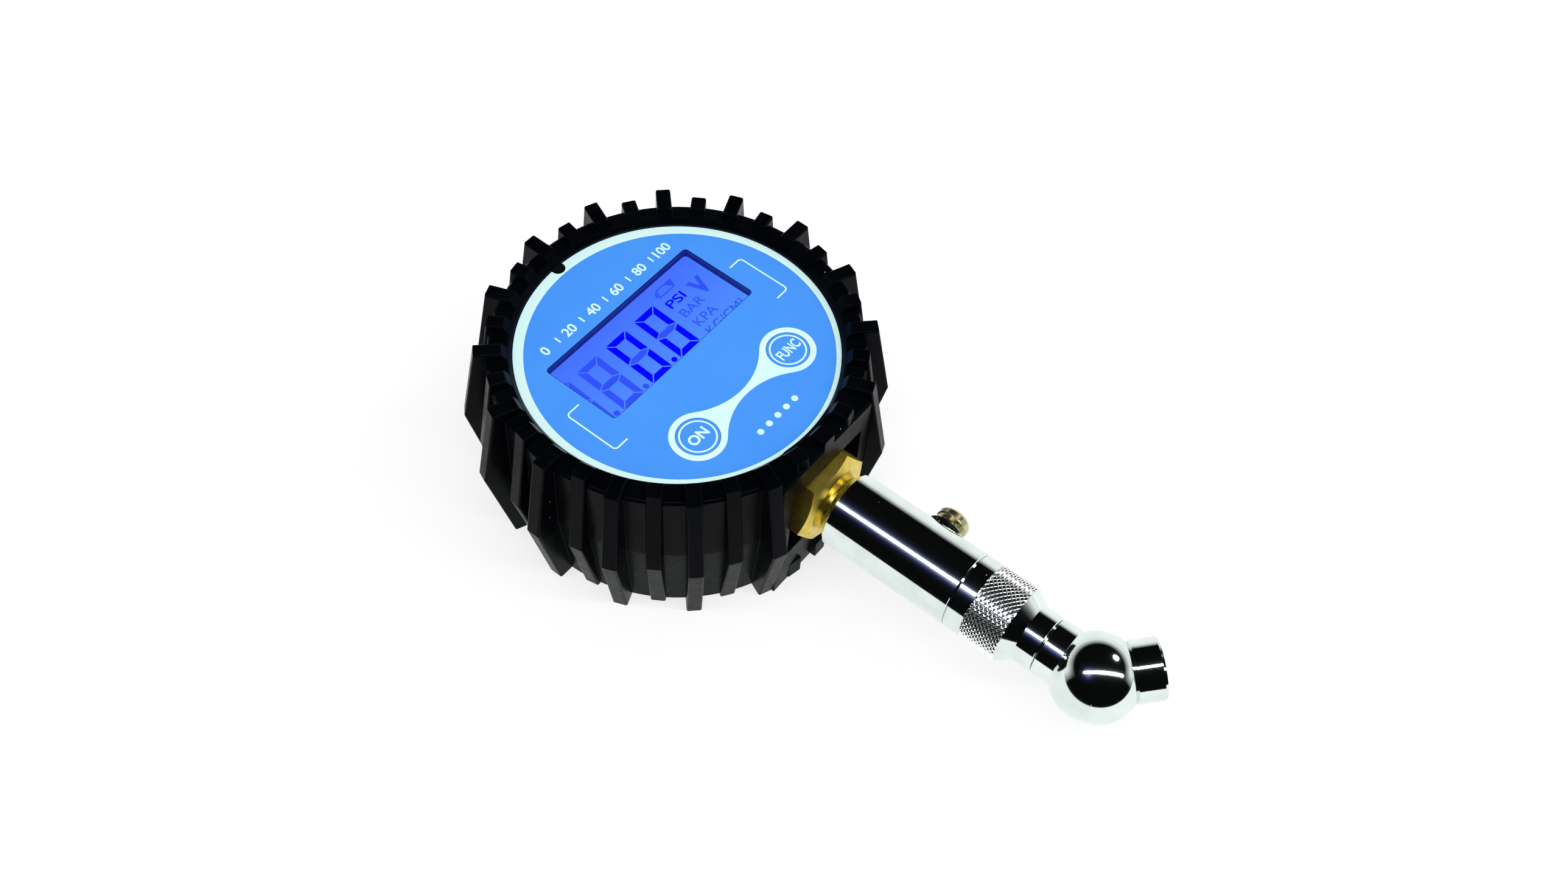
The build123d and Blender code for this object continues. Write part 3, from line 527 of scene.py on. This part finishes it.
def clearAcrylic(name, colour, rough):
    material, tree, shader, place = startMaterial(name, {
        "Base Color": linear(colour), "Transmission Weight": 1.0, "IOR": 1.49,
    })
    sheen = drift(tree, place, acrylic["patch"], rough, rough + acrylic["roughSpread"])
    tree.links.new(sheen.outputs[0], shader.inputs["Roughness"])
    grain(tree, shader, place, acrylic["patch"], acrylic["waveHeight"])
    return material


# Board: glass-epoxy laminate under green solder mask. The glass cloth shows as a 0.5 mm weave.
board = {"dark": "#0E4A2A", "light": "#176B3D", "weave": 0.5, "relief": 0.01}


def boardLaminate():
    material, tree, shader, place = startMaterial("boardLaminate", {"IOR": 1.55, "Roughness": 0.35})
    warp, weft = (addNode(tree, "TexWave", {
        "wave_type": "BANDS", "bands_direction": way, "Scale": waveLength / board["weave"],
    }, {0: place}).outputs["Fac"] for way in ("X", "Y"))
    cloth = addNode(tree, "Math", {"operation": "MULTIPLY"}, {0: warp, 1: weft})
    colour = addNode(tree, "Mix", {"data_type": "RGBA", 6: linear(board["dark"]), 7: linear(board["light"])},
                     {0: cloth})
    tree.links.new(colour.outputs[2], shader.inputs["Base Color"])
    bump = addNode(tree, "Bump", {"Distance": mm(board["relief"])}, {"Height": cloth})
    tree.links.new(bump.outputs[0], shader.inputs["Normal"])
    return material


# Cells: steel can in a printed plastic sleeve, silver with a copper-coloured band at the far end.
cell = {
    "dark": "#B9BDC2", "light": "#CDD1D6", "band": "#B5763C", "bandStart": 9.0, "patch": 5.0,
    "roughLow": 0.28, "roughHigh": 0.4, "roughPatch": 2.0,
}


def cellSleeve():
    material, tree, shader, place = startMaterial("cellSleeve", {"Metallic": 0.6, "IOR": 1.5})
    along = addNode(tree, "SeparateXYZ", links={0: place}).outputs["X"]
    band = addNode(tree, "Math", {"operation": "GREATER_THAN", 1: cell["bandStart"]}, {0: along})
    plain = mottle(tree, place, cell["patch"], cell["dark"], cell["light"])
    colour = addNode(tree, "Mix", {"data_type": "RGBA", 7: linear(cell["band"])}, {0: band, 6: plain})
    tree.links.new(colour.outputs[2], shader.inputs["Base Color"])
    sheen = drift(tree, place, cell["roughPatch"], cell["roughLow"], cell["roughHigh"])
    tree.links.new(sheen.outputs[0], shader.inputs["Roughness"])
    return material


rubber = mouldedRubber()
caseAbs = mouldedPlastic("satinAbs", "#08080A", "#0F1012", rough=0.24)
doorAbs = mouldedPlastic("matteAbs", "#121315", "#1A1B1E", rough=0.45, grainSize=0.4, grainHeight=0.012)
frameAbs = mouldedPlastic("whiteAbs", "#D4D6D8", "#E4E6E8", rough=0.4)
switchNylon = mouldedPlastic("blackNylon", "#141416", "#1E1E21", rough=0.45)
chipEpoxy = mouldedPlastic("chipEpoxy", "#17181A", "#222326", rough=0.55, grainSize=0.2, grainHeight=0.006)
siliconeRubber = mouldedPlastic("siliconeRubber", "#3A3B3E", "#4A4B4F", rough=0.6)
sealNitrile = mouldedPlastic("sealNitrile", "#0C0C0D", "#161617", rough=0.4)
film = printedFilm("printedPolyesterFilm", face["blueDark"], face["blueLight"])
ink = printedFilm("whiteScreenInk", face["inkShade"], face["ink"])
chrome = chromePlate("brightChromePlate")
knurlChrome = chromePlate("knurledChromePlate", "#F4F8F8", "#FFFFFF", polish=0.14)
bareBrass = turnedMetal("turnedBrass", brass["dark"], brass["light"], brass["rough"], brass["ringPitch"],
                        brass["ringHeight"], stemAxis, milledRough=brass["milledRough"])
buttonNickel = turnedMetal("nickelledBrass", "#BAB286", "#D4CDA6", rough=0.26, pitch=0.6, height=0.0002,
                           centre=buttonAxis, axis="X")
zincSteel = turnedMetal("zincPlatedSteel", "#8E9094", "#B8BABD", rough=0.3, pitch=0.3, height=0.004,
                        centre=(0, 14.4, 0), axis="Z")
springSteel = turnedMetal("nickelledSpringSteel", "#A9ABAE", "#C9CBCE", rough=0.22, pitch=0.2, height=0.003,
                          centre=(0, 0, 0), axis="X")
sensorSteel = turnedMetal("stainlessSteel", "#8A8C8F", "#AEB0B3", rough=0.3, pitch=0.3, height=0.004,
                          centre=stemAxis)
lcdGlass = glowing("backlitDisplayGlass", display["glowLow"], display["glowHigh"])
lcdDark = glowing("drivenSegment", display["dark"], display["dark"])
lcdFaint = glowing("restingSegment", display["faint"], display["faint"])
# painted light: the window's walls glow with the display's blue, in the well's shade
paintedWallGlow = glowing("paintedGlowWindowWall", display["wall"], display["wall"])
lensAcrylic = clearAcrylic("clearAcrylic", "#FFFFFF", rough=0.0)
guideAcrylic = clearAcrylic("lightGuideAcrylic", "#F2F6FF", rough=0.3)

finishes = {
    "rubber_boot": rubber, "front_case": caseAbs, "rear_case": caseAbs, "battery_door": doorAbs,
    "door_screw": zincSteel, "case_screws": zincSteel, "face_label": film, "display_lens": lensAcrylic,
    "on_key": film, "func_key": film, "on_actuator": switchNylon, "func_actuator": switchNylon,
    "on_switch": switchNylon, "func_switch": switchNylon, "lcd_panel": lcdGlass,
    "backlight_panel": guideAcrylic, "lcd_frame": frameAbs, "elastomer_strip": siliconeRubber,
    "circuit_board": boardLaminate(), "controller_chip": chipEpoxy, "cell_left": cellSleeve(),
    "cell_right": cellSleeve(), "contact_plates": springSteel, "contact_springs": springSteel,
    "stem_fitting": bareBrass, "sensor_seal": sealNitrile, "pressure_sensor": sensorSteel,
    "stem_tube": chrome, "knurled_collar": chrome, "bleed_bush": chrome,
    "bleed_button": buttonNickel, "bleed_poppet": sealNitrile, "bleed_spring": springSteel,
    "ball_chuck": chrome, "swivel_seal": sealNitrile, "swivel_clip": springSteel, "nozzle": chrome,
    "valve_depressor": bareBrass, "nozzle_seal": sealNitrile,
}

for name, material in finishes.items():
    slots = nodes[name].material_slots
    for slot in slots:
        slot.material = material
    if not slots:
        nodes[name].data.materials.append(material)
print("materials on", len(finishes), "nodes")


# Print on the face: ink stands a little proud of the film.
printing = {
    "top": 30.0, "sink": 0.005,
    "centreY": -0.62,         # the border's inner edge is centred this far down, so its top is broader
    "ringOuter": 28.36, "ringInner": 27.0, "notchRadius": 1.32, "notchY": 28.05,
    "plateRadius": 4.97, "plateHole": 3.87,   # a disc round each key, and a link between them
    "linkSize": (17.8, 8.0), "linkHalf": 0.58, "linkFlank": 13.77,  # hollowed by a cylinder of this radius
    "keyX": 12.1, "keyY": -14.7, "keyRingOuter": 3.33, "keyRingInner": 3.02, "legendHeight": 2.1,
    "bracketX": (19.98, 23.1), "bracketY": (-6.18, 5.0), "bracketLine": 0.29, "bracketCorner": 0.86,
    "scale": (0, 20, 40, 60, 80, 100), "scaleY": 16.95, "scaleStep": 6.1,
    "scaleHeight": 2.0, "scaleWeight": 0.02,
    "tickSize": (0.32, 1.5), "tickShift": 0.1, "tickRound": 0.08,
    "dots": 5, "dotsY": -22.1, "dotPitch": 2.3, "dotRadius": 0.6,
}


def thicken(piece, height=face["inkHeight"]):
    faceUp(piece)
    useModifier(piece, "SOLIDIFY", thickness=mm(height), offset=1.0)


def printedRing(name, centre, outer, inner, shift=0.0):
    z = printing["top"] - printing["sink"]
    ring = addPrimitive("circle", name, (*centre, z), vertices=128, radius=mm(outer), fill_type="NOTHING")
    pickAll(ring)
    bpy.ops.mesh.extrude_edges_move(TRANSFORM_OT_translate={"value": mm(0, shift, 0)})
    share = inner / outer
    bpy.ops.transform.resize(value=(share, share, 1), center_override=mm(centre[0], centre[1] + shift, z))
    leaveEdit()
    thicken(ring)
    return ring


def borderRing():
    ring = printedRing("border_ring", (0, 0), printing["ringOuter"], printing["ringInner"],
                       shift=printing["centreY"])
    deep = 2.0  # more than enough to cut through the ink
    notch = addPrimitive("cylinder", "notch", (0, printing["notchY"], printing["top"]), vertices=32,
                         radius=mm(printing["notchRadius"]), depth=mm(deep))
    mouth = addPrimitive("cube", "mouth", (0, printing["notchY"] + deep, printing["top"]), size=1,
                         stretch=mm(2 * printing["notchRadius"], 2 * deep, deep))
    carve(ring, [notch, mouth])
    finishPiece(ring, ink, "housing")


def keyPlate():
    z = printing["top"] - printing["sink"] + face["inkHeight"] / 2
    keyX, keyY = printing["keyX"], printing["keyY"]
    thick, deep = face["inkHeight"], 1.0
    link = addPrimitive("cube", "key_plate", (0, keyY, z), size=1, stretch=mm(*printing["linkSize"], thick))
    flank = printing["linkFlank"]
    flanks = [addPrimitive("cylinder", "flank", (0, keyY + side * (printing["linkHalf"] + flank), z),
                           vertices=192, radius=mm(flank), depth=mm(deep)) for side in (-1, 1)]
    carve(link, flanks)
    discs = [addPrimitive("cylinder", "disc", (side * keyX, keyY, z), vertices=96,
                          radius=mm(printing["plateRadius"]), depth=mm(thick)) for side in (-1, 1)]
    carve(link, discs, "UNION")
    holes = [addPrimitive("cylinder", "hole", (side * keyX, keyY, z), vertices=96,
                          radius=mm(printing["plateHole"]), depth=mm(deep)) for side in (-1, 1)]
    carve(link, holes)
    finishPiece(link, ink, "housing")


def bracket(name, side):
    near, far = printing["bracketX"]
    low, high = printing["bracketY"]
    z = printing["top"] - printing["sink"]
    sheet = addPrimitive("plane", name, (side * near, (low + high) / 2, z), size=1,
                         stretch=mm(2 * (far - near), high - low, 1))
    pickAll(sheet)
    bpy.ops.mesh.bevel(offset=mm(printing["bracketCorner"]), segments=8, affect="VERTICES")
    bpy.ops.mesh.select_all(action="SELECT")
    bpy.ops.mesh.inset(thickness=mm(printing["bracketLine"]))
    bpy.ops.mesh.delete(type="FACE")
    bpy.ops.mesh.select_all(action="SELECT")
    bpy.ops.mesh.bisect(plane_co=mm(side * near, 0, 0), plane_no=(-side, 0, 0), clear_outer=True)
    leaveEdit()
    thicken(sheet)
    finishPiece(sheet, ink, "housing")


def addWords(name, words, place, height, width=None, weight=0.0, thick=face["inkHeight"]):
    deselectAll()
    bpy.ops.object.text_add()
    text = bpy.context.object
    text.data.body = words
    text.data.offset = weight
    text.data.extrude = mm(thick) / 2
    bpy.ops.object.convert(target="MESH")
    piece = bpy.context.object
    piece.name = piece.data.name = name
    pickAll(piece)
    bpy.ops.mesh.remove_doubles(threshold=mm(thick) / 10)  # far less than the print is thick
    leaveEdit()
    xs = [vertex.co.x for vertex in piece.data.vertices]
    ys = [vertex.co.y for vertex in piece.data.vertices]
    rise = mm(height) / (max(ys) - min(ys))
    spread = mm(width) / (max(xs) - min(xs)) if width else rise
    piece.data.transform(Matrix.Translation(Vector((-(max(xs) + min(xs)) / 2, -(max(ys) + min(ys)) / 2, 0))))
    piece.scale = (spread, rise, 1)
    piece.location = mm(*place)
    settle(piece)
    return piece


def printScale():  # a plain row of numbers with fine ticks between them
    z = printing["top"] + face["inkHeight"] / 2 - printing["sink"]
    y = printing["scaleY"]
    step = printing["scaleStep"]
    last = len(printing["scale"]) - 1
    parts = []
    for number, value in enumerate(printing["scale"]):
        x = (number - last / 2) * step
        parts.append(addWords("scaleNumber", str(value), (x, y, z), printing["scaleHeight"],
                              weight=printing["scaleWeight"]))
        if number < last:
            tick = addPrimitive("cube", "tick", (x + step / 2 + printing["tickShift"], y, z), size=1,
                                stretch=mm(*printing["tickSize"], face["inkHeight"]))
            pick(tick, "EDGE", lambda middle, item: abs(middle.z - z) < touching)
            bpy.ops.mesh.bevel(offset=mm(printing["tickRound"]), segments=2)
            leaveEdit()
            parts.append(tick)
    finishPiece(joinPieces("scale_row", parts), ink, "housing")


def printDots():
    z = printing["top"] - printing["sink"]
    dot = addPrimitive("circle", "dot", (0, printing["dotsY"], z), vertices=32,
                       radius=mm(printing["dotRadius"]), fill_type="NGON")
    thicken(dot)
    dots = [copyPiece(dot, "dot") for number in range(printing["dots"])]
    for number, twin in enumerate(dots):
        movePiece(twin, (number - printing["dots"] // 2) * printing["dotPitch"], 0, 0)
    bpy.data.objects.remove(dot)
    finishPiece(joinPieces("dot_row", dots), ink, "housing")


def keyLegend(body, name, side, words, width, weight, shift=0.0):
    centre = (side * printing["keyX"], printing["keyY"])
    ring = printedRing(body + "_ring", centre, printing["keyRingOuter"], printing["keyRingInner"])
    finishPiece(ring, ink, body)
    z = printing["top"] + face["inkHeight"] / 2 - printing["sink"]
    legend = addWords(name, words, (centre[0] + shift, centre[1], z), printing["legendHeight"], width, weight)
    finishPiece(legend, ink, body)


borderRing()
keyPlate()
bracket("bracket_left", -1)
bracket("bracket_right", 1)
printScale()
printDots()
keyLegend("on_key", "on_legend", -1, "ON", width=4.03, weight=0.03)
keyLegend("func_key", "func_legend", 1, "FUNC", width=4.95, weight=0.022, shift=0.1)
print("face printed")


# Display: one figure-of-eight is modelled, copied to each digit and leaned over as the real digits are.
def eight():
    wide, tall, bar = display["digitWidth"], display["digitHeight"], display["bar"]
    digit = addPrimitive("plane", "digit", (wide / 2, tall / 2, display["top"] + display["lift"]), size=1,
                         stretch=mm(wide, tall, 1))
    pick(digit, "EDGE", lambda middle, item: abs(middle.y - tall / 2) < touching)
    bpy.ops.mesh.subdivide(number_cuts=1)
    bpy.ops.mesh.select_all(action="SELECT")
    bpy.ops.mesh.select_mode(type="FACE")
    bpy.ops.mesh.inset(thickness=mm(bar), use_individual=True)
    for side in (-1, 1):  # the two halves share the middle bar
        pick(digit, "VERT", lambda middle, item: abs(middle.y - tall / 2 - side * bar) < touching)
        bpy.ops.transform.translate(value=mm(0, -side * bar / 2, 0))
    pick(digit, "FACE", lambda middle, item: abs(abs(middle.y - tall / 2) - tall / 4) < bar / 2
         and abs(middle.x - wide / 2) < touching)
    bpy.ops.mesh.delete(type="FACE")
    pick(digit, "EDGE", lambda middle, item: abs(middle.y - tall / 2) < touching
         and abs(middle.x - wide / 2) < touching)
    bpy.ops.mesh.dissolve_edges(use_verts=False)
    pick(digit, "FACE", lambda middle, item: True)
    bpy.ops.mesh.inset(thickness=mm(display["gap"] / 2), use_individual=True)
    bpy.ops.mesh.select_all(action="INVERT")
    bpy.ops.mesh.delete(type="FACE")
    leaveEdit()
    return digit


def drive(piece, isDriven):  # a driven segment is dark, and the others rest
    piece.data.materials.append(lcdDark)
    piece.data.materials.append(lcdFaint)
    for polygon in piece.data.polygons:
        polygon.material_index = 0 if isDriven(polygon.center * 1000) else 1


def leanPiece(piece, lean, foot=0.0):  # over to the right, about the foot's height
    piece.data.transform(Matrix(((1, lean, 0, mm(-lean * foot)), (0, 1, 0, 0), (0, 0, 1, 0), (0, 0, 0, 1))))


def displayFigures():
    pattern = eight()
    tall, bar = display["digitHeight"], display["bar"]
    digits = []
    for number, place in enumerate(display["digitPlaces"]):
        digit = copyPiece(pattern, "digit")
        drive(digit, lambda middle: number >= display["restingDigits"] and abs(middle.y - tall / 2) > bar / 2)
        leanPiece(digit, display["lean"])
        movePiece(digit, place, display["digitFoot"], 0)
        digits.append(digit)
    bpy.data.objects.remove(pattern)
    for x, y, driven in display["points"]:
        point = addPrimitive("circle", "point", (x, y, display["top"] + display["lift"]), vertices=24,
                             radius=mm(display["pointRadius"]), fill_type="NGON")
        drive(point, lambda middle: driven)
        digits.append(point)
    figures = joinPieces("display_digits", digits)
    edge = display["window"][0] / 2 + display["underEdge"]
    pickAll(figures)  # what the window's edge hides isn't there
    bpy.ops.mesh.bisect(plane_co=mm(-edge, 0, 0), plane_no=(-1, 0, 0), clear_outer=True)
    leaveEdit()
    thicken(figures, display["segmentHeight"])
    finishPiece(figures, None, "housing", angle=0)


units = {  # each row is the words, their middle, height, width and weight
    "driven": ("PSI", (9.22, 8.39), 1.93, 4.09, 0.01),
    "resting": (
        ("BAR", (10.03, 5.26), 1.88, 5.41, 0.0),
        ("KPA", (9.95, 2.15), 1.95, 5.14, 0.0),
        ("KG/CM\u00b2", (12.2, -0.71), 1.95, 9.64, 0.0),
        ("V", (14.62, 7.36), 3.98, 3.35, 0.05),
    ),
    "battery": (9.95, 11.55), "batterySize": (4.1, 1.88), "batteryLine": 0.28, "batteryLean": 0.35,
    "nubX": 7.62, "nubSize": (0.5, 0.9), "cornerX": 10.92, "cornerSize": (1.6, 1.32),
}


def displayUnits():
    z = display["top"] + display["lift"]

    def unit(name, words, middle, *size):
        return addWords(name, words, (*middle, z), *size, display["segmentHeight"])
    finishPiece(unit("display_unit_on", *units["driven"]), lcdDark, "housing")
    rest = [unit("unit", *row) for row in units["resting"]]
    x, y = units["battery"]
    battery = addPrimitive("plane", "batteryMark", (x, y, z), size=1, stretch=mm(*units["batterySize"], 1))
    pickAll(battery)
    bpy.ops.mesh.inset(thickness=mm(units["batteryLine"]))
    bpy.ops.mesh.delete(type="FACE")
    leaveEdit()
    nub = addPrimitive("plane", "batteryNub", (units["nubX"], y, z), size=1, stretch=mm(*units["nubSize"], 1))
    corner = addPrimitive("plane", "batteryCorner", (units["cornerX"], y, z), size=1,
                          stretch=mm(*units["cornerSize"], 1))
    pick(corner, "VERT", lambda middle, item: middle.x < units["cornerX"] and middle.y < y)
    bpy.ops.mesh.delete(type="VERT")
    bpy.ops.mesh.select_all(action="SELECT")
    bpy.ops.mesh.edge_face_add()
    leaveEdit()
    battery = joinPieces("batteryMark", [battery, nub, corner])
    leanPiece(battery, units["batteryLean"], y)
    thicken(battery, display["segmentHeight"])
    rest.append(battery)
    finishPiece(joinPieces("display_units_resting", rest), lcdFaint, "housing")


# A thin sheet on the window's walls glows deep blue: painted light, the display's glow on walls that lie in
# shade.
def windowLiner():
    wide, tall = (side - display["linerGap"] for side in display["window"])
    x, y = display["centre"]
    low, high = display["top"] + display["linerLift"], display["linerTop"]
    wallSheet = addPrimitive("plane", "painted_window_wall_glow", (x, y, low), size=1, stretch=mm(wide, tall, 1))
    pickAll(wallSheet)
    bpy.ops.mesh.bevel(offset=mm(display["corner"]), segments=6, affect="VERTICES")
    bpy.ops.mesh.select_all(action="SELECT")
    bpy.ops.mesh.inset(thickness=mm(display["linerWall"]))
    bpy.ops.mesh.delete(type="FACE")
    leaveEdit()
    thicken(wallSheet, high - low)
    finishPiece(wallSheet, paintedWallGlow, "housing")


displayFigures()
displayUnits()
windowLiner()
print("display filled")


# Knurl: a ring of truncated diamonds rolled into the collar's band.
knurl = {
    "start": 66.35, "length": 7.0, "around": 44, "rows": 8, "base": 6.89,
    "inner": 6.6,   # the ends turn in to this radius, inside the collar
    "height": 0.2, "flat": 0.2,
}


def knurlBand():
    middle = knurl["start"] + knurl["length"] / 2
    ends = (-knurl["start"], -knurl["start"] - knurl["length"])
    band = addPrimitive("cylinder", "knurl_band", (0, -middle, stemAxis[2]), vertices=knurl["around"],
                        radius=mm(knurl["base"]), depth=mm(knurl["length"]), end_fill_type="NOTHING",
                        rotation=(math.radians(90), 0, 0))
    pick(band, "EDGE", lambda point, item: abs(point.y + middle) < touching)
    bpy.ops.mesh.subdivide(number_cuts=knurl["rows"] - 1)
    sag = knurl["base"] * (1 - math.cos(math.pi / knurl["around"]))
    bpy.ops.mesh.select_all(action="SELECT")
    bpy.ops.mesh.poke(offset=mm(sag))
    leaveEdit()

    def isEnd(point, item):
        return min(abs(point.y - end) for end in ends) < touching

    def isCellEdge(point, item):  # the sides of the squares that the diamonds grow out of
        first, second = (band.data.vertices[corner].co * 1000 for corner in item.vertices)
        alongStem = abs(first.x - second.x) < touching and abs(first.z - second.z) < touching
        return (alongStem or abs(first.y - second.y) < touching) and not isEnd(point, item)
    pick(band, "EDGE", isCellEdge)
    bpy.ops.mesh.dissolve_edges(use_verts=False)
    pick(band, "FACE", lambda point, item: True)
    bpy.ops.mesh.inset(thickness=mm(knurl["flat"]), depth=mm(knurl["height"]), use_individual=True)
    pick(band, "EDGE", isEnd)
    bpy.ops.mesh.extrude_edges_move()
    inward = knurl["inner"] / knurl["base"]
    bpy.ops.transform.resize(value=(inward, 1, inward), center_override=mm(0, -middle, stemAxis[2]))
    bpy.ops.mesh.bridge_edge_loops()
    bpy.ops.mesh.select_all(action="SELECT")
    bpy.ops.mesh.normals_make_consistent(inside=False)
    leaveEdit()
    finishPiece(band, knurlChrome, "housing", angle=0)


knurlBand()
print("collar knurled")


# Return spring of the deflator, which shortens as the button goes in: a coil modelled at rest, and nothing
# here shortens it.
bleedSpring = {
    "coil": 1.65, "wire": 0.2, "turns": 4, "sides": 12, "stepsPerTurn": 24,
    "low": 3.65, "high": 6.55, "y": -53.6, "travel": 1.1,
}


def returnSpring():
    rise = bleedSpring["high"] - bleedSpring["low"] - 2 * bleedSpring["wire"]
    steps = bleedSpring["stepsPerTurn"] * bleedSpring["turns"]
    wire = addPrimitive("circle", "return_spring", (0, bleedSpring["coil"], 0), vertices=bleedSpring["sides"],
                        radius=mm(bleedSpring["wire"]), fill_type="NOTHING")
    useModifier(wire, "SCREW", axis="X", angle=2 * math.pi * bleedSpring["turns"], screw_offset=mm(rise),
                steps=steps, render_steps=steps)
    pickAll(wire)
    bpy.ops.mesh.fill_holes(sides=0)
    bpy.ops.mesh.select_all(action="SELECT")
    bpy.ops.mesh.normals_make_consistent(inside=False)
    leaveEdit()
    movePiece(wire, bleedSpring["low"] + bleedSpring["wire"], bleedSpring["y"], stemAxis[2])
    finishPiece(wire, springSteel, "housing", angle=60)
    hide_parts("bleed_spring")
    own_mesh(wire)


returnSpring()
